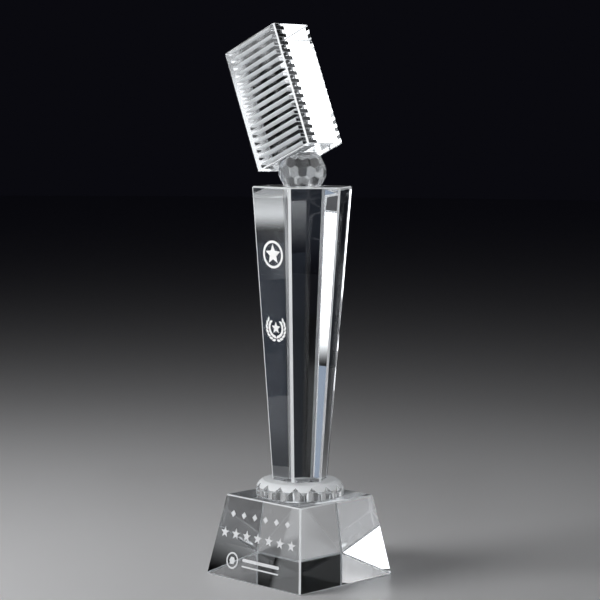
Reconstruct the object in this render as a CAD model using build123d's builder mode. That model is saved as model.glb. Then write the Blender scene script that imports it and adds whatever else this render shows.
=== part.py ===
from build123d import *
import os
from math import cos, sin, atan2, radians, sqrt

# Crystal column trophy with a leaning microphone head.
# Millimetres, +Z up.  The origin is the centre of the base block's underside,
# the emblem face looks towards -Y, and the head leans towards -X.

os.makedirs("parts", exist_ok=True)

# ---------------------------------------------------------------- dimensions
glue = 0.15                  # thickness of each clear adhesive film

# base block: square truncated pyramid
base_side = 80.0             # side of the underside
base_top_side = 63.2         # side of the upper face
base_height = 48.9
base_edge_bevel = 0.9        # on the four slanting edges
base_rim_bevel = 0.7         # round the upper and lower faces
base_film_radius = 23.3

# collar: lobed disc between base and column
collar_radius = 26.65        # tip of a lobe
collar_top_radius = 22.4
collar_height = 9.3
collar_side_height = 3.9     # top of the upright side, below the shoulder
collar_foot_bevel = 0.5
shoulder_mid_inset = 1.25    # a point the shoulder arc passes through:
shoulder_mid_rise = 3.1      # in from the side, and above its top
collar_lobes = 16
collar_lobe_radius = 5.45
collar_phase = 5.0           # rotation of the first lobe from +X, degrees

# column: hexagonal taper, flats facing +Y and -Y
column_bottom_radius = 17.4  # corner radius at the lower end
column_top_radius = 31.2     # corner radius at the upper end
column_length = 176.85
column_edge_bevel = 1.15     # on the six long edges
column_top_bevel = 0.8
column_bottom_bevel = 0.4
column_film_inset = 0.7      # film's corners, in from the column's

# neck ball: faceted, with two glued flats
ball_facet_distance = 13.75  # centre to each facet
ball_flat_distance = 8.4     # centre to each of the two glued flats
ball_blank = 36.0            # side of the cube the ball is cut from
ball_film_radius = 10.6

# microphone head: slotted block
head_width = 45.8
head_thickness = 29.4
head_height = 76.5
head_lean = 22.86            # degrees from upright, towards -X
head_shift = 1.3             # head centre from the ball's axis, along its width
head_edge_bevel = 0.8
head_end_bevel = 0.3
slot_count = 16
slot_pitch = 4.84
slot_width = 2.6
slot_depth = 10.0            # cut into the front face
slot_end_wall = 4.0          # left standing at each end of a slot
slot_corner = 0.5            # radius at a slot's ends
slot_clearance = 1.0         # the cut starts this far in front of the face

# filled engravings
engraving_depth = 0.30
fill_depth = 0.28
fill_gap = 0.01              # between the fill and the engraving's walls
upper_emblem_z = 195.4
lower_emblem_z = 151.6
lozenge_row_z = 38.3
star_row_z = 26.6
foot_row_z = 11.0

# ---------------------------------------------------------------- derived places
collar_z = base_height + glue
collar_top_z = collar_z + collar_height
column_z = collar_top_z + glue
column_top_z = column_z + column_length
ball_centre = Vector(0, 0, column_top_z + glue + ball_flat_distance)

lean = radians(head_lean)
head_across = Vector(cos(lean), 0, sin(lean))
head_up = Vector(-sin(lean), 0, cos(lean))
head_centre = (
    ball_centre
    + head_up * (ball_flat_distance + glue + head_height / 2)
    + head_across * head_shift
)


def front_plane(distance, z, tilt):
    """Plane on a -Y face, `distance` from the axis; positive tilt (radians) faces upwards."""
    return Plane(origin=(0, -distance, z), x_dir=(1, 0, 0), z_dir=(0, -cos(tilt), sin(tilt)))


def column_front(z):
    flat_per_corner = sqrt(3) / 2    # a hexagon's flat distance over its corner radius
    widening = column_top_radius - column_bottom_radius
    radius = column_bottom_radius + (z - column_z) / column_length * widening
    slope = atan2(widening * flat_per_corner, column_length)
    return front_plane(radius * flat_per_corner, z, -slope)


def base_front(z):
    narrowing = (base_side - base_top_side) / 2
    slope = atan2(narrowing, base_height)
    return front_plane(base_side / 2 - z * narrowing / base_height, z, slope)


# ---------------------------------------------------------------- shared steps
def rising_edges(builder, up=Vector(0, 0, 1)):
    return builder.edges().filter_by(lambda edge: abs(edge.tangent_at(0.5).dot(up)) > 0.5)


def level_edges(builder, up=Vector(0, 0, 1)):
    return builder.edges().filter_by(lambda edge: abs(edge.tangent_at(0.5).dot(up)) < 0.01)


def round_film(plane, radius):
    """Disc of adhesive standing on a plane."""
    with BuildPart() as film:
        with BuildSketch(plane):
            Circle(radius)
        extrude(amount=glue)
    return film.part


def engraving_fill(engravings):
    """Fill for (outline, plane) engravings, flush with the face they are cut in."""
    with BuildPart() as fill:
        for outline, plane in engravings:
            with BuildSketch(plane.offset(-fill_depth)):
                add(outline)
                offset(amount=-fill_gap)
            extrude(amount=fill_depth)
    return fill.part


# ---------------------------------------------------------------- emblem outlines
emblem_radius = 8.3
ring_width = 1.5
ring_star_inset = 2.1        # star's tips, in from the ring's outside
emblem_star_inner = 0.46     # a star's inner radius over its outer radius

wreath_inset = 1.75          # wreath's centre line, in from the emblem's edge
wreath_star_radius = 3.7
leaf_pairs = 7               # on each side of the wreath
first_leaf_angle = 15        # from the foot of the wreath, degrees
leaf_step = 19               # degrees
leaf_lift = 1.15             # leaf's centre, out or in from the centre line
leaf_turn = 24               # leaf's splay, out or in, degrees

# one leaf, (along, across): pointed at both ends, widest a little behind the middle
LEAF = (
    (-1.7, 0.0), (-1.1, -0.52), (-0.2, -0.8), (0.7, -0.6),
    (1.75, 0.0), (0.7, 0.6), (-0.2, 0.8), (-1.1, 0.52),
)


def star_points(radius, inner, x=0.0):
    """Five-pointed star centred at (x, 0), with one tip up."""
    points = []
    for i in range(10):
        reach = radius if i % 2 == 0 else radius * inner
        angle = radians(90 + 36 * i)
        points.append((x + reach * cos(angle), reach * sin(angle)))
    return points


def leaf_points(side, step, outward):
    """One leaf; side is -1 left or +1 right, outward is +1 outer or -1 inner."""
    place = 270 + side * (first_leaf_angle + leaf_step * step)
    heading = radians(place + side * (90 - outward * leaf_turn))
    reach = emblem_radius - wreath_inset + outward * leaf_lift
    x = reach * cos(radians(place))
    y = reach * sin(radians(place))
    return [
        (
            x + along * cos(heading) - across * sin(heading),
            y + along * sin(heading) + across * cos(heading),
        )
        for along, across in LEAF
    ]


with BuildSketch() as star_in_ring:
    Circle(emblem_radius)
    Circle(emblem_radius - ring_width, mode=Mode.SUBTRACT)
    with BuildLine():
        Polyline(*star_points(emblem_radius - ring_star_inset, emblem_star_inner), close=True)
    make_face()

with BuildSketch() as laurel_wreath:
    for side in (-1, 1):
        for step in range(leaf_pairs):
            for outward in (1, -1):
                with BuildLine():
                    Polyline(*leaf_points(side, step, outward), close=True)
                make_face()
    with BuildLine():
        Polyline(*star_points(wreath_star_radius, emblem_star_inner), close=True)
    make_face()

# ---------------------------------------------------------------- base ornament outlines
lozenge_count = 6
lozenge_pitch = 9.2
lozenge_radius = 2.1

row_star_count = 7
row_star_pitch = 9.4
row_star_radius = 3.5
row_star_inner = 0.42

badge_x = -19                # ringed hexagon at the left of the foot row
badge_radius = 5.0
badge_hole_radius = 4.0
badge_hexagon_radius = 2.4
bar_x = 5                    # two round-ended bars to its right
bar_length = 31
foot_bars = ((1.6, 1.9), (-2.2, 0.9))    # (y, width)

with BuildSketch() as lozenge_row:
    with GridLocations(lozenge_pitch, 0, lozenge_count, 1):
        RegularPolygon(radius=lozenge_radius, side_count=4)

with BuildSketch() as star_row:
    for i in range(row_star_count):
        star_x = row_star_pitch * (i - (row_star_count - 1) / 2)
        with BuildLine():
            Polyline(*star_points(row_star_radius, row_star_inner, x=star_x), close=True)
        make_face()

with BuildSketch() as foot_row:
    with Locations((badge_x, 0)):
        Circle(badge_radius)
        Circle(badge_hole_radius, mode=Mode.SUBTRACT)
        RegularPolygon(radius=badge_hexagon_radius, side_count=6)
    for bar_y, bar_width in foot_bars:
        with Locations((bar_x, bar_y)):
            SlotOverall(bar_length, bar_width)

upper_emblem = (star_in_ring.sketch, column_front(upper_emblem_z))
lower_emblem = (laurel_wreath.sketch, column_front(lower_emblem_z))
base_engravings = (
    (lozenge_row.sketch, base_front(lozenge_row_z)),
    (star_row.sketch, base_front(star_row_z)),
    (foot_row.sketch, base_front(foot_row_z)),
)

# ---------------------------------------------------------------- base block
with BuildPart() as base_block:
    with BuildSketch(Plane.XY):
        Rectangle(base_side, base_side)
    with BuildSketch(Plane.XY.offset(base_height)):
        Rectangle(base_top_side, base_top_side)
    loft(ruled=True)
    chamfer(rising_edges(base_block), length=base_edge_bevel)
    chamfer(level_edges(base_block), length=base_rim_bevel)
    for outline, plane in base_engravings:
        with BuildSketch(plane):
            add(outline)
        extrude(amount=-engraving_depth, mode=Mode.SUBTRACT)

# ---------------------------------------------------------------- collar disc
lobe_centre_radius = collar_radius - collar_lobe_radius
side_top_z = collar_z + collar_side_height

with BuildPart() as collar_disc:
    with BuildSketch(Plane.XY.offset(collar_z)):
        Circle(lobe_centre_radius)
        with PolarLocations(lobe_centre_radius, collar_lobes, start_angle=collar_phase):
            Circle(collar_lobe_radius)
    extrude(amount=collar_height)
    # the lobed prism is trimmed to a turned profile
    with BuildSketch(Plane.XZ):
        with BuildLine():
            foot = Line((0, collar_z), (collar_radius - collar_foot_bevel, collar_z))
            toe = Line(foot @ 1, (collar_radius, collar_z + collar_foot_bevel))
            wall = Line(toe @ 1, (collar_radius, side_top_z))
            shoulder = ThreePointArc(
                wall @ 1,
                (collar_radius - shoulder_mid_inset, side_top_z + shoulder_mid_rise),
                (collar_top_radius, collar_top_z),
            )
            Line(shoulder @ 1, (0, collar_top_z))
            Line((0, collar_top_z), (0, collar_z))
        make_face()
    revolve(axis=Axis.Z, mode=Mode.INTERSECT)

with BuildPart() as collar_glue_film:
    with BuildSketch(Plane.XY.offset(collar_top_z)):
        RegularPolygon(radius=column_bottom_radius - column_film_inset, side_count=6)
    extrude(amount=glue)

# ---------------------------------------------------------------- column
with BuildPart() as column:
    with BuildSketch(Plane.XY.offset(column_z)):
        RegularPolygon(radius=column_bottom_radius, side_count=6)
    with BuildSketch(Plane.XY.offset(column_top_z)):
        RegularPolygon(radius=column_top_radius, side_count=6)
    loft(ruled=True)
    chamfer(rising_edges(column), length=column_edge_bevel)
    chamfer(level_edges(column).group_by(Axis.Z)[-1], length=column_top_bevel)
    chamfer(level_edges(column).group_by(Axis.Z)[0], length=column_bottom_bevel)
    for outline, plane in (upper_emblem, lower_emblem):
        with BuildSketch(plane):
            add(outline)
        extrude(amount=-engraving_depth, mode=Mode.SUBTRACT)

# ---------------------------------------------------------------- neck ball
# rings of facets: (latitude, number in the ring, rotation of the ring), angles in degrees
facet_rings = (
    (0, 12, 0),
    (27, 12, 15), (-27, 12, 15),
    (53, 8, 7), (-53, 8, 7),
)
foot_flat = Plane(origin=ball_centre - Vector(0, 0, ball_flat_distance), z_dir=(0, 0, -1))
head_flat = Plane(
    origin=ball_centre + head_up * ball_flat_distance, x_dir=head_across, z_dir=head_up
)

with BuildPart(Plane(origin=ball_centre, z_dir=(0, 0, 1))) as neck_ball:
    Box(ball_blank, ball_blank, ball_blank)
    for latitude, number, turn in facet_rings:
        for i in range(number):
            around = radians(turn + 360 / number * i)
            rise = radians(latitude)
            normal = Vector(cos(rise) * cos(around), cos(rise) * sin(around), sin(rise))
            facet = Plane(origin=ball_centre + normal * ball_facet_distance, z_dir=normal)
            split(bisect_by=facet, keep=Keep.BOTTOM)
    split(bisect_by=foot_flat, keep=Keep.BOTTOM)
    split(bisect_by=head_flat, keep=Keep.BOTTOM)

# ---------------------------------------------------------------- microphone head
# in front of the slotted face, looking into the block
slot_plane = Plane(
    origin=head_centre - Vector(0, head_thickness / 2 + slot_clearance, 0),
    x_dir=head_across,
    z_dir=(0, 1, 0),
)

with BuildPart(Plane(origin=head_centre, x_dir=head_across, z_dir=head_up)) as microphone_head:
    Box(head_width, head_thickness, head_height)
    chamfer(rising_edges(microphone_head, head_up), length=head_edge_bevel)
    chamfer(level_edges(microphone_head, head_up), length=head_end_bevel)
    with BuildSketch(slot_plane):
        with GridLocations(0, slot_pitch, 1, slot_count):
            RectangleRounded(head_width - 2 * slot_end_wall, slot_width, slot_corner)
    extrude(amount=slot_depth + slot_clearance, mode=Mode.SUBTRACT)

# ---------------------------------------------------------------- write
pieces = {
    "base_block": base_block.part,
    "base_ornament_fill": engraving_fill(base_engravings),
    "base_glue_film": round_film(Plane.XY.offset(base_height), base_film_radius),
    "collar_disc": collar_disc.part,
    "collar_glue_film": collar_glue_film.part,
    "column": column.part,
    "upper_emblem_fill": engraving_fill([upper_emblem]),
    "lower_emblem_fill": engraving_fill([lower_emblem]),
    "column_glue_film": round_film(Plane.XY.offset(column_top_z), ball_film_radius),
    "neck_ball": neck_ball.part,
    "head_glue_film": round_film(head_flat, ball_film_radius),
    "microphone_head": microphone_head.part,
}
for name, piece in pieces.items():
    piece.label = name
    export_step(piece, f"parts/{name}.step")
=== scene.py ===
# A crystal trophy in the shape of a microphone, in metres with +Z up.  A block, a collar disc,
# a hexagonal column and a ball stand on the Z axis, and the head leans from upright towards -X.
# Thin films of clear adhesive join the pieces.  The script gives the pieces their materials,
# then adds the floor, the lights and the camera.
import math

import bmesh
import bpy
from mathutils import Matrix, Quaternion, Vector


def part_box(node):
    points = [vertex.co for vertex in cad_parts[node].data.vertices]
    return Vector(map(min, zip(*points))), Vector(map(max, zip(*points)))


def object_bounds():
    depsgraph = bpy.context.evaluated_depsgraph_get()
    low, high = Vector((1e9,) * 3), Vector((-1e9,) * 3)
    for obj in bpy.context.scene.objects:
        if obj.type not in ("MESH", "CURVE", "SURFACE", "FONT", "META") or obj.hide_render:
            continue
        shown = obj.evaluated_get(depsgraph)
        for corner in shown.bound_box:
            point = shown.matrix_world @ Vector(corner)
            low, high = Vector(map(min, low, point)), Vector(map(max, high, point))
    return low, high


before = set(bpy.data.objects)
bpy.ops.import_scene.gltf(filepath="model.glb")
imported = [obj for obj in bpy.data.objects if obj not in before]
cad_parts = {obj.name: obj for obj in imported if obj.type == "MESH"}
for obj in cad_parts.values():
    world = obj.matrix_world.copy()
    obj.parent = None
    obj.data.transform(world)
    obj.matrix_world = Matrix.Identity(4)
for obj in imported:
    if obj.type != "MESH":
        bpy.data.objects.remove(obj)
cad_lo, cad_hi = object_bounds()

# ------------------------------------------------------------------ sizes
# The material masks work in millimetres.
MM = 1000.0
JOINT_SLACK = 0.02       # how far a joint's mask reaches past its film, below and above
HEAD_FILM = 0.15         # thickness of the film between ball and head
FLAT_HEIGHT = 8.4        # from the ball's centre to each of its two flats
HEAD_JOINT_RADIUS = 10.6
HEAD_HALF_HEIGHT = 76.5 / 2
HEAD_HALF_WIDTH = 45.8 / 2
HEAD_SHIFT = 1.3         # the head's centre, off the line through the ball

LEAN = math.radians(22.86)
HEAD_UP = Vector((-math.sin(LEAN), 0, math.cos(LEAN)))
HEAD_X = Vector((math.cos(LEAN), 0, math.sin(LEAN)))
BALL = Vector((0, 0, (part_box("column_glue_film")[1].z + FLAT_HEIGHT / MM) * MM))
HEAD_CENTRE = (
    BALL + HEAD_UP * (FLAT_HEIGHT + HEAD_FILM + HEAD_HALF_HEIGHT) + HEAD_X * HEAD_SHIFT
)
HEX_ANGLES = [math.radians(a) for a in (90, 30, -30)]  # normals of the column's pairs of sides


# ------------------------------------------------------------------ node helpers
class Tree:
    """A material and short names for the nodes it uses."""

    def __init__(self, name):
        self.material = bpy.data.materials.new(name)
        self.material.use_nodes = True
        self.node_tree = self.material.node_tree
        self.node_tree.nodes.clear()
        self.output = self.node("OutputMaterial")
        self.geometry_node = None

    def node(self, kind, inputs=None, **settings):
        """A shader node; inputs holds a value or an output for each socket name or number."""
        made = self.node_tree.nodes.new("ShaderNode" + kind)
        for setting, value in settings.items():
            setattr(made, setting, value)
        for socket, value in (inputs or {}).items():
            self.feed(made.inputs[socket], value)
        return made

    def feed(self, socket, value):
        if hasattr(value, "is_output"):
            self.node_tree.links.new(value, socket)
        else:
            socket.default_value = value

    def surface(self, shader):
        self.feed(self.output.inputs["Surface"], shader)

    def geometry(self, output):
        if self.geometry_node is None:
            self.geometry_node = self.node("NewGeometry")
        return self.geometry_node.outputs[output]

    def math(self, operation, *operands, clamp=False):
        inputs = dict(enumerate(operands))
        return self.node("Math", inputs, operation=operation, use_clamp=clamp).outputs[0]

    def add(self, first, second):
        return self.math("ADD", first, second)

    def subtract(self, first, second, clamp=False):
        return self.math("SUBTRACT", first, second, clamp=clamp)

    def multiply(self, first, second):
        return self.math("MULTIPLY", first, second)

    def absolute(self, value):
        return self.math("ABSOLUTE", value)

    def vary(self, value, base, swing):
        """base + swing * value"""
        return self.add(base, self.multiply(value, swing))

    # masks are 1 inside and 0 outside
    def below(self, value, limit):
        return self.math("LESS_THAN", value, limit)

    def above(self, value, limit):
        return self.math("GREATER_THAN", value, limit)

    def both(self, first, second):
        return self.multiply(first, second)

    def between(self, value, low, high):
        return self.both(self.above(value, low), self.below(value, high))

    def either(self, first, *others):
        """The greatest of the values."""
        for other in others:
            first = self.math("MAXIMUM", first, other)
        return first

    def dot(self, first, second):
        inputs = {0: first, 1: second}
        return self.node("VectorMath", inputs, operation="DOT_PRODUCT").outputs["Value"]

    def away_from(self, point, origin):
        return self.node("VectorMath", {0: point, 1: origin}, operation="SUBTRACT").outputs[0]

    def xyz(self, vector):
        return self.node("SeparateXYZ", {0: vector}).outputs

    def position_mm(self):
        inputs = {0: self.geometry("Position"), "Scale": MM}
        return self.node("VectorMath", inputs, operation="SCALE").outputs[0]

    def normal(self):
        return self.geometry("True Normal")

    def facing(self, direction):
        """How squarely the face is turned to the direction or its opposite, 0 to 1."""
        return self.absolute(self.dot(self.normal(), direction))

    def noise(self, scale, detail, roughness):
        inputs = {
            "Scale": scale,
            "Detail": detail,
            "Roughness": roughness,
            "Distortion": 0.0,
            "Vector": self.geometry("Position"),
        }
        return self.node("TexNoise", inputs).outputs[0]

    def bump(self, height, strength, distance):
        inputs = {"Strength": strength, "Distance": distance, "Height": height}
        return self.node("Bump", inputs).outputs[0]

    def fade(self, value, span):
        """A smooth rise from 0 to 1 over the span."""
        inputs = {"From Max": span, "Value": value}
        return self.node("MapRange", inputs, interpolation_type="SMOOTHSTEP").outputs[0]

    def mix(self, share, first, second):
        return self.node("MixShader", {0: share, 1: first, 2: second}).outputs[0]

    def principled(self, inputs):
        return self.node("BsdfPrincipled", inputs).outputs[0]


# ------------------------------------------------------------------ masks of the glued joints
def film_level(tree, z, film_lo, film_hi):
    return tree.between(z, film_lo.z * MM - JOINT_SLACK, film_hi.z * MM + JOINT_SLACK)


def disc_joint(film):
    """The mask of a level, round joint, sized by its film."""
    film_lo, film_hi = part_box(film)

    def mask(tree, point):
        x, y, z = tree.xyz(point)
        square = tree.add(tree.multiply(x, x), tree.multiply(y, y))
        inside = tree.below(tree.math("SQRT", square), film_hi.x * MM)
        return tree.both(inside, film_level(tree, z, film_lo, film_hi))

    return mask


base_joint = disc_joint("base_glue_film")
column_top_joint = disc_joint("column_glue_film")


def collar_joint(tree, point):
    """The hexagonal footprint of the column on the collar."""
    film_lo, film_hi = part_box("collar_glue_film")
    half_across_flats = film_hi.x * MM * math.cos(math.radians(30))
    x, y, z = tree.xyz(point)
    distances = [
        tree.absolute(tree.add(
            tree.multiply(x, math.cos(angle)),
            tree.multiply(y, math.sin(angle)),
        ))
        for angle in HEX_ANGLES
    ]
    inside = tree.below(tree.either(*distances), half_across_flats)
    return tree.both(inside, film_level(tree, z, film_lo, film_hi))


def head_joint(tree, point):
    """The round joint between the ball's tilted flat and the head."""
    offset = tree.away_from(point, BALL)
    height = tree.dot(offset, HEAD_UP)
    radius_squared = tree.subtract(tree.dot(offset, offset), tree.multiply(height, height))
    level = tree.between(
        height, FLAT_HEIGHT - JOINT_SLACK, FLAT_HEIGHT + HEAD_FILM + JOINT_SLACK
    )
    return tree.both(tree.below(radius_squared, HEAD_JOINT_RADIUS ** 2), level)


# ------------------------------------------------------------------ masks of the less clear faces, and of the slot ends that get painted shade
def base_bevel(tree, point):
    sizes = tree.node("VectorMath", {0: tree.normal()}, operation="ABSOLUTE").outputs[0]
    x, y, z = tree.xyz(sizes)
    return tree.below(tree.either(x, tree.either(y, z)), limit=0.96)


def column_bevel(tree, point):
    sides = [tree.facing((math.cos(angle), math.sin(angle), 0)) for angle in HEX_ANGLES]
    ends = tree.absolute(tree.xyz(tree.normal())[2])
    return tree.below(tree.either(*sides, ends), limit=0.97)


def collar_surface(tree, point):
    """A ground top, and sides that are a touch milky."""
    top = tree.above(tree.xyz(tree.normal())[2], limit=0.35)
    return tree.vary(top, base=0.2, swing=0.75)


def whole_surface(tree, point):
    """The whole piece, for a shape too small to lap to full clarity."""
    return tree.above(tree.xyz(point)[2], limit=0.0)


def head_bevel(tree, point):
    across = tree.facing(HEAD_X)
    upward = tree.facing(HEAD_UP)
    broad = tree.absolute(tree.xyz(tree.normal())[1])
    return tree.below(tree.either(across, tree.either(upward, broad)), limit=0.97)


def slot_walls(tree, point):
    """The long upper and lower walls of the head's slots, met from the open side."""
    height = tree.absolute(tree.dot(tree.away_from(point, HEAD_CENTRE), HEAD_UP))
    level = tree.above(tree.facing(HEAD_UP), limit=0.97)
    inner = tree.below(height, HEAD_HALF_HEIGHT - 0.2)  # leaves out the head's own ends
    open_side = tree.subtract(1.0, tree.geometry("Backfacing"))
    return tree.both(open_side, tree.both(level, inner))


def slot_end_painted_shade(tree, point):
    """The short end walls of the head's slots, met squarely from inside the crystal: there a
    near-black finish is painted shade, standing in for the dark they show.
    """
    across = tree.absolute(tree.dot(tree.away_from(point, HEAD_CENTRE), HEAD_X))
    side = tree.above(tree.facing(HEAD_X), limit=0.6)
    inner = tree.below(across, HEAD_HALF_WIDTH - 1.2)  # leaves out the head's own sides
    view = tree.absolute(tree.dot(tree.geometry("Incoming"), HEAD_X))
    seen = tree.both(tree.geometry("Backfacing"), tree.above(view, limit=0.7))
    return tree.both(seen, tree.both(side, inner))


# ------------------------------------------------------------------ materials
def frosted(tree):
    """Light scattered both ways by fine polishing marks."""
    colour = {"Color": (0.93, 0.95, 0.97, 1)}
    through = tree.node("BsdfTranslucent", colour).outputs[0]
    back = tree.node("BsdfDiffuse", colour).outputs[0]
    return tree.mix(0.6, through, back)


def wheel_marks(tree, point):
    """How much light the sawn walls scatter, striped by the cutting wheel."""
    stripes_per_mm = 5.0  # in radians
    across = tree.add(tree.dot(point, HEAD_X), tree.xyz(point)[1])
    mark = tree.math("SINE", tree.multiply(across, stripes_per_mm))
    return tree.vary(mark, base=0.72, swing=0.16)


def crystal(name, joints, bevel, wave=1.0, sawn=None, painted_shade_mask=None, frosting=0.8):
    """Polished optical crystal.  The last five masks and numbers are optional.

    joints are masks of the glued areas, which are index-matched and so don't show.
    bevel is a mask of the less clear facets, and frosting how much of their light is scattered.
    wave scales the waviness of the faces.  sawn is a mask of cut walls that were left ground,
    and the next mask one of walls given painted shade, a near-black standing in for their dark.
    """
    tree = Tree(name)
    point = tree.position_mm()

    # faint polishing haze: patches a few millimetres across
    patches = tree.noise(scale=90, detail=4, roughness=0.6)
    haze = tree.multiply(tree.subtract(patches, 0.5, clamp=True), 0.05)
    edge = bevel(tree, point)
    grain = tree.noise(scale=1400, detail=3, roughness=0.7)
    rough = tree.add(haze, tree.multiply(edge, tree.vary(grain, base=0.10, swing=0.12)))
    cover = tree.multiply(edge, frosting)
    if sawn is not None:
        cut = sawn(tree, point)
        streak = tree.noise(scale=900, detail=3, roughness=0.6)
        rough = tree.add(rough, tree.multiply(cut, tree.vary(streak, base=0.34, swing=0.2)))
        cover = tree.either(cover, tree.multiply(cut, wheel_marks(tree, point)))

    slow = tree.noise(scale=26, detail=1.5, roughness=0.5)
    polished = tree.principled({
        "Base Color": (0.992, 0.996, 1.0, 1),
        "IOR": 1.52,
        "Transmission Weight": 1.0,
        "Roughness": rough,
        "Normal": tree.bump(slow, strength=0.25, distance=0.00006 * wave),
    })
    shader = tree.mix(cover, polished, frosted(tree))
    # painted shade: the slot ends turn near-black when seen from inside the crystal, in place of
    # the dark they show
    if painted_shade_mask is not None:
        painted_shade_black = tree.principled({"Base Color": (0.006, 0.006, 0.008, 1), "Roughness": 0.35})
        shader = tree.mix(tree.multiply(painted_shade_mask(tree, point), 0.94), shader, painted_shade_black)
    glued = tree.either(*[joint(tree, point) for joint in joints])
    tree.surface(tree.mix(glued, shader, tree.node("BsdfTransparent").outputs[0]))

    tint = tree.node("VolumeAbsorption", {"Color": (0.90, 0.97, 1.0, 1), "Density": 0.8})
    tree.feed(tree.output.inputs["Volume"], tint.outputs[0])
    return tree.material


def adhesive(name):
    """Cured clear adhesive: index-matched, so only its thin rim bends light."""
    tree = Tree(name)
    grain = tree.noise(scale=700, detail=3, roughness=0.6)
    rim = tree.principled({
        "Base Color": (0.97, 0.985, 0.975, 1),
        "Transmission Weight": 1.0,
        "IOR": 1.50,
        "Roughness": tree.multiply(grain, 0.2),
    })
    flat = tree.either(
        tree.above(tree.absolute(tree.xyz(tree.normal())[2]), limit=0.97),
        tree.above(tree.facing(HEAD_UP), limit=0.97),
    )
    tree.surface(tree.mix(flat, rim, tree.node("BsdfTransparent").outputs[0]))
    return tree.material


def enamel(name, colour, grain_scale):
    """Matt colour fill over a sandblasted floor: uneven, with a fine pitted surface."""
    tree = Tree(name)
    fine = tree.noise(scale=grain_scale, detail=5, roughness=0.65)
    patch = tree.noise(scale=220, detail=3, roughness=0.5)
    blend = tree.add(tree.multiply(fine, 0.6), tree.multiply(patch, 0.4))
    shades = tree.node("ValToRGB", {0: blend})
    dark, pale = shades.color_ramp.elements
    dark.position = 0.3
    dark.color = tuple(c * 0.86 for c in colour) + (1,)
    pale.position = 0.62
    pale.color = tuple(min(1.0, c * 1.03) for c in colour) + (1,)
    tree.surface(tree.principled({
        "Base Color": shades.outputs[0],
        "Roughness": tree.vary(patch, base=0.55, swing=0.2),
        "Specular IOR Level": 0.35,
        "Normal": tree.bump(fine, strength=0.5, distance=0.00004),
    }))
    return tree.material


def floor_material():
    tree = Tree("floor_pale")
    tree.surface(tree.principled({
        "Base Color": (0.62, 0.62, 0.63, 1),
        "Roughness": 0.45,
        "Specular IOR Level": 0.3,
    }))
    return tree.material


CRYSTAL_PIECES = ("base_block", "collar_disc", "column", "neck_ball", "microphone_head")
crystals = (
    crystal("crystal_base", [base_joint], base_bevel),
    crystal("crystal_collar", [base_joint, collar_joint], collar_surface, frosting=0.9),
    crystal("crystal_column", [collar_joint, column_top_joint], column_bevel),
    crystal("crystal_ball", [column_top_joint, head_joint], whole_surface,
            wave=0.5, frosting=0.04),
    # the head's slot ends get painted shade
    crystal("crystal_head", [head_joint], head_bevel, sawn=slot_walls, painted_shade_mask=slot_end_painted_shade),
)
clear_film = adhesive("clear_adhesive")
white_fill = enamel("white_enamel", (0.93, 0.93, 0.93), grain_scale=2600)
frost_fill = enamel("frosted_fill", (0.72, 0.73, 0.75), grain_scale=3200)

dress = dict(zip(CRYSTAL_PIECES, crystals))
for joined in ("base", "collar", "column", "head"):
    dress[joined + "_glue_film"] = clear_film
dress["upper_emblem_fill"] = white_fill
dress["lower_emblem_fill"] = white_fill
dress["base_ornament_fill"] = frost_fill
for name, material in dress.items():
    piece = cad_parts[name]
    if not piece.material_slots:
        piece.data.materials.append(material)
    for slot in piece.material_slots:
        slot.material = material

# ------------------------------------------------------------------ floor and world
FLOOR_RADIUS = 6.0
FLOOR_GAP = 0.0001  # keeps the floor just clear of the base

bm = bmesh.new()
bmesh.ops.create_circle(bm, cap_ends=True, radius=FLOOR_RADIUS, segments=96)
mesh = bpy.data.meshes.new("floor")
bm.to_mesh(mesh)
bm.free()
floor = bpy.data.objects.new("floor", mesh)
floor.location.z = cad_lo.z - FLOOR_GAP
bpy.context.scene.collection.objects.link(floor)
floor.data.materials.append(floor_material())

world = bpy.data.worlds.new("studio")
world.use_nodes = True
background = world.node_tree.nodes["Background"]
background.inputs["Color"].default_value = (0.003, 0.003, 0.0048, 1)
background.inputs["Strength"].default_value = 1.0
bpy.context.scene.world = world

# ------------------------------------------------------------------ lights
# level directions of the main view
VIEW_ANGLE = math.radians(44.571)
VIEW_RIGHT = Vector((math.cos(VIEW_ANGLE), math.sin(VIEW_ANGLE), 0))
VIEW_AWAY = Vector((-math.sin(VIEW_ANGLE), math.cos(VIEW_ANGLE), 0))


def stand(azimuth, radius, z):
    """A point of the studio: azimuth in degrees from straight behind the trophy towards the
    view's right, radius from the trophy's axis."""
    turn = math.radians(azimuth)
    away = VIEW_AWAY * (math.cos(turn) * radius)
    return away + VIEW_RIGHT * (math.sin(turn) * radius) + Vector((0, 0, z))


def card_material(name, half_width, half_height, strength, colour, side, low, high, grid):
    tree = Tree(name)
    x, y, _ = tree.xyz(tree.node("TexCoord").outputs["Object"])
    glow = tree.fade(tree.subtract(half_width, tree.absolute(x)), side)
    glow = tree.multiply(glow, tree.fade(tree.add(y, half_height), low))
    glow = tree.multiply(glow, tree.fade(tree.subtract(half_height, y), high))
    if grid is not None:
        steepness = tree.xyz(tree.geometry("Incoming"))[2]
        glow = tree.multiply(glow, tree.fade(tree.subtract(steepness, grid), span=0.08))
    inputs = {"Color": colour + (1,), "Strength": tree.multiply(glow, strength)}
    tree.surface(tree.node("Emission", inputs).outputs[0])
    tree.material.cycles.emission_sampling = "NONE"
    return tree.material


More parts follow.
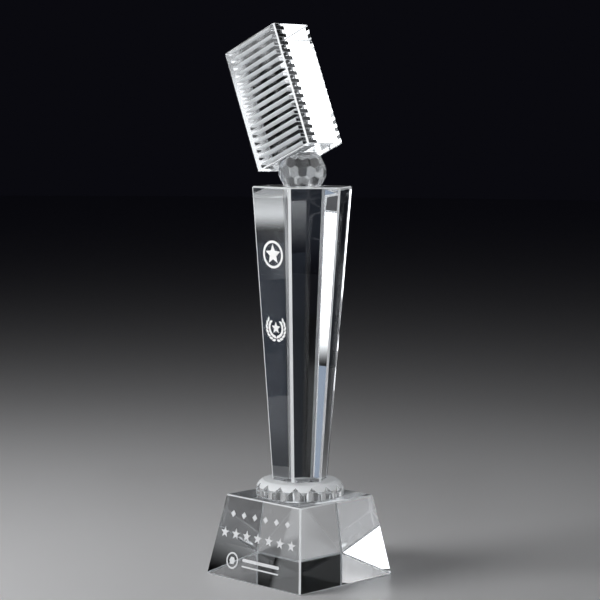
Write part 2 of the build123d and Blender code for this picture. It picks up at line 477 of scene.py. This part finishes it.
def soft_card(name, azimuth, z_low, z_high, width, strength, colour=(0.94, 0.97, 1.0),
              side=0.06, low=0.05, high=0.05, radius=0.8, lean=0.0, grid=None):
    """An upright diffuser that polished crystal sees; the camera and matt surfaces don't.

    Its glow fades over side, low and high towards those edges.  lean turns it in its own
    plane, in degrees.  With a grid it is seen only from above, where the sight line's rise
    is over that value.
    """
    half_width, half_height = width / 2, (z_high - z_low) / 2
    card_mesh = bpy.data.meshes.new(name)
    corners = [(x * half_width, y * half_height, 0)
               for x, y in ((-1, -1), (1, -1), (1, 1), (-1, 1))]
    card_mesh.from_pydata(corners, [], [(0, 1, 2, 3)])
    card = bpy.data.objects.new(name, card_mesh)
    place = stand(azimuth, radius, (z_low + z_high) / 2)
    card.location = place
    card.rotation_mode = "QUATERNION"
    outward = Vector((place.x, place.y, 0)).to_track_quat("Z", "Y")
    card.rotation_quaternion = outward @ Quaternion((0, 0, 1), math.radians(lean))
    bpy.context.scene.collection.objects.link(card)
    card_mesh.materials.append(card_material(
        name + "_glow", half_width, half_height, strength, colour, side, low, high, grid
    ))
    card.visible_camera = False
    card.visible_diffuse = False
    card.visible_shadow = False


# name, azimuth, lower z, upper z, width, strength, other arguments of soft_card
CARDS = [
    ("key_head", -74.4, 0.17, 0.37, 0.157, 5.0,
     dict(side=0.004, low=0.01, high=0.01, radius=0.3115, lean=16.5)),
    ("key_left", -88, 0.02, 0.19, 0.42, 5.0, dict(high=0.02, radius=0.795)),
    ("key_left_high", -88, 0.32, 0.60, 0.42, 2.5, dict(low=0.03)),
    ("left_low", -88, 0.00, 0.14, 0.42, 0.5, {}),
    ("left_high", -80, 0.50, 0.80, 0.40, 1.4, {}),
    ("back_right", 38, 0.27, 0.62, 0.26, 2.3, dict(low=0.10, radius=0.795)),
    ("back_right_edge", 38, 0.235, 0.280, 0.26, 0.60, dict(low=0.020, high=0.030, radius=0.79)),
    ("back_right_glow", 38, 0.00, 0.34, 0.34, 0.022, dict(colour=(0.70, 0.78, 1.0))),
    ("front_right_high", 143, 0.366, 0.68, 0.34, 6.0, dict(low=0.08, radius=0.795)),
    ("front_right_low", 143, 0.02, 0.44, 0.34, 0.40, dict(colour=(0.64, 0.78, 1.0))),
    ("right_low", 82, 0.20, 0.42, 0.34, 0.2, {}),
    ("right_floor", 85, 0.00, 0.18, 0.34, 0.15, {}),
    ("right_high", 82, 0.60, 0.85, 0.40, 0.8, {}),
    ("camera_left_high", -170, 0.60, 0.85, 0.40, 3.75, {}),
    ("camera_left_low", -165, 0.18, 0.40, 0.30, 2.0, {}),
    ("camera_right_low", 170, 0.10, 0.40, 0.30, 0.6, {}),
    ("back_left_high", -40, 0.45, 0.80, 0.40, 1.2, {}),
    ("back_left_low", -17, 0.16, 0.29, 0.18, 0.4, dict(side=0.07)),
    ("back_high", 0, 0.42, 0.60, 0.40, 0.9, {}),
    ("back_right_low", 19, 0.13, 0.29, 0.20, 0.45, dict(side=0.08, low=0.06)),
    ("behind_head", -4, 0.262, 0.345, 0.13, 1.3, dict(side=0.015, low=0.02, high=0.01)),
    ("front_left_low", -112, 0.00, 0.16, 0.42, 2.0, dict(radius=0.5)),
    ("front_left_floor", -119, 0.00, 0.11, 0.29, 2.2,
     dict(side=0.006, low=0.002, high=0.03, radius=0.36)),
    ("front_left_grid", -92.5, 0.028, 0.12, 0.068, 2.2,
     dict(side=0.003, low=0.002, high=0.02, radius=0.36, grid=0.26)),
    ("back_left", -36, 0.20, 0.42, 0.24, 1.3, {}),
    ("flag_behind", 0, 0.00, 0.15, 0.30, 0.0, dict(radius=0.36)),  # gives no light
]
for *card_values, options in CARDS:
    soft_card(*card_values, **options)


def softbox(name, place, target, size, power, matt_only=True, receivers=None):
    """A square area light.  With matt_only, reflections and refractions don't show it.
    receivers is a collection name and the pieces in it, the only ones the light reaches."""
    light = bpy.data.lights.new(name, "AREA")
    light.shape = "RECTANGLE"
    light.size = light.size_y = size
    light.energy = power
    box = bpy.data.objects.new(name, light)
    box.location = place
    box.rotation_mode = "QUATERNION"
    box.rotation_quaternion = (Vector(target) - place).to_track_quat("-Z", "Y")
    bpy.context.scene.collection.objects.link(box)
    box.visible_camera = False
    if matt_only:
        box.visible_glossy = False
        box.visible_transmission = False
    if receivers is not None:
        collection_name, pieces = receivers
        collection = bpy.data.collections.new(collection_name)
        for piece_name in pieces:
            collection.objects.link(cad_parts[piece_name])
        box.light_linking.receiver_collection = collection


# The key is a rectangle, made square here and then narrowed.
softbox("key_matt", stand(-110, 0.8, 0.40), target=(0, 0, 0.18), size=0.5, power=7)
bpy.data.lights["key_matt"].size_y = 0.4
softbox("pool_matt", stand(-30, 0.15, 0.62), target=(0, 0, 0), size=0.4, power=0.6)
softbox("low_matt", stand(-140, 0.45, 0.07), target=HEAD_CENTRE / MM, size=0.3, power=4.5,
        receivers=("head_only", ["microphone_head"]))
softbox("front_fill", stand(165, 0.6, 0.30), target=(0, 0, 0.16), size=0.4, power=3.0,
        receivers=("crystal_only", CRYSTAL_PIECES))
softbox("top_box", stand(0, 0.05, 0.85), target=(0, 0, 0), size=0.5, power=0.6,
        matt_only=False)

# ------------------------------------------------------------------ camera
PITCH = math.radians(5.188)  # downwards
YAW = math.radians(0.042)    # to the left of the trophy's axis
ROLL = math.radians(0.467)
DISTANCE, HEIGHT = 1.17343, 0.27355

heading = VIEW_ANGLE + YAW
level = Vector((-math.sin(heading), math.cos(heading), 0))
right = Vector((level.y, -level.x, 0))
up = Vector((0, 0, 1))
forward = level * math.cos(PITCH) - up * math.sin(PITCH)
pitched_up = up * math.cos(PITCH) + level * math.sin(PITCH)
camera_x = right * math.cos(ROLL) + pitched_up * math.sin(ROLL)
camera_y = -right * math.sin(ROLL) + pitched_up * math.cos(ROLL)
pose = Matrix((camera_x, camera_y, -forward)).transposed().to_4x4()
pose.translation = (DISTANCE * math.sin(VIEW_ANGLE), -DISTANCE * math.cos(VIEW_ANGLE), HEIGHT)

lens = bpy.data.cameras.new("camera")
lens.sensor_width = 36
lens.lens = 117.822
camera = bpy.data.objects.new("camera", lens)
camera.matrix_world = pose
scene = bpy.context.scene
scene.collection.objects.link(camera)
scene.camera = camera

# ------------------------------------------------------------------ render settings
# many bounces, to follow light through the crystal
scene.cycles.max_bounces = 40
scene.cycles.transmission_bounces = 40
scene.cycles.glossy_bounces = 16
scene.cycles.diffuse_bounces = 4
scene.cycles.transparent_max_bounces = 40
scene.cycles.sample_clamp_indirect = 8.0
scene.cycles.blur_glossy = 0.2
scene.cycles.use_denoising = True
scene.view_settings.view_transform = "Standard"
scene.view_settings.look = "None"
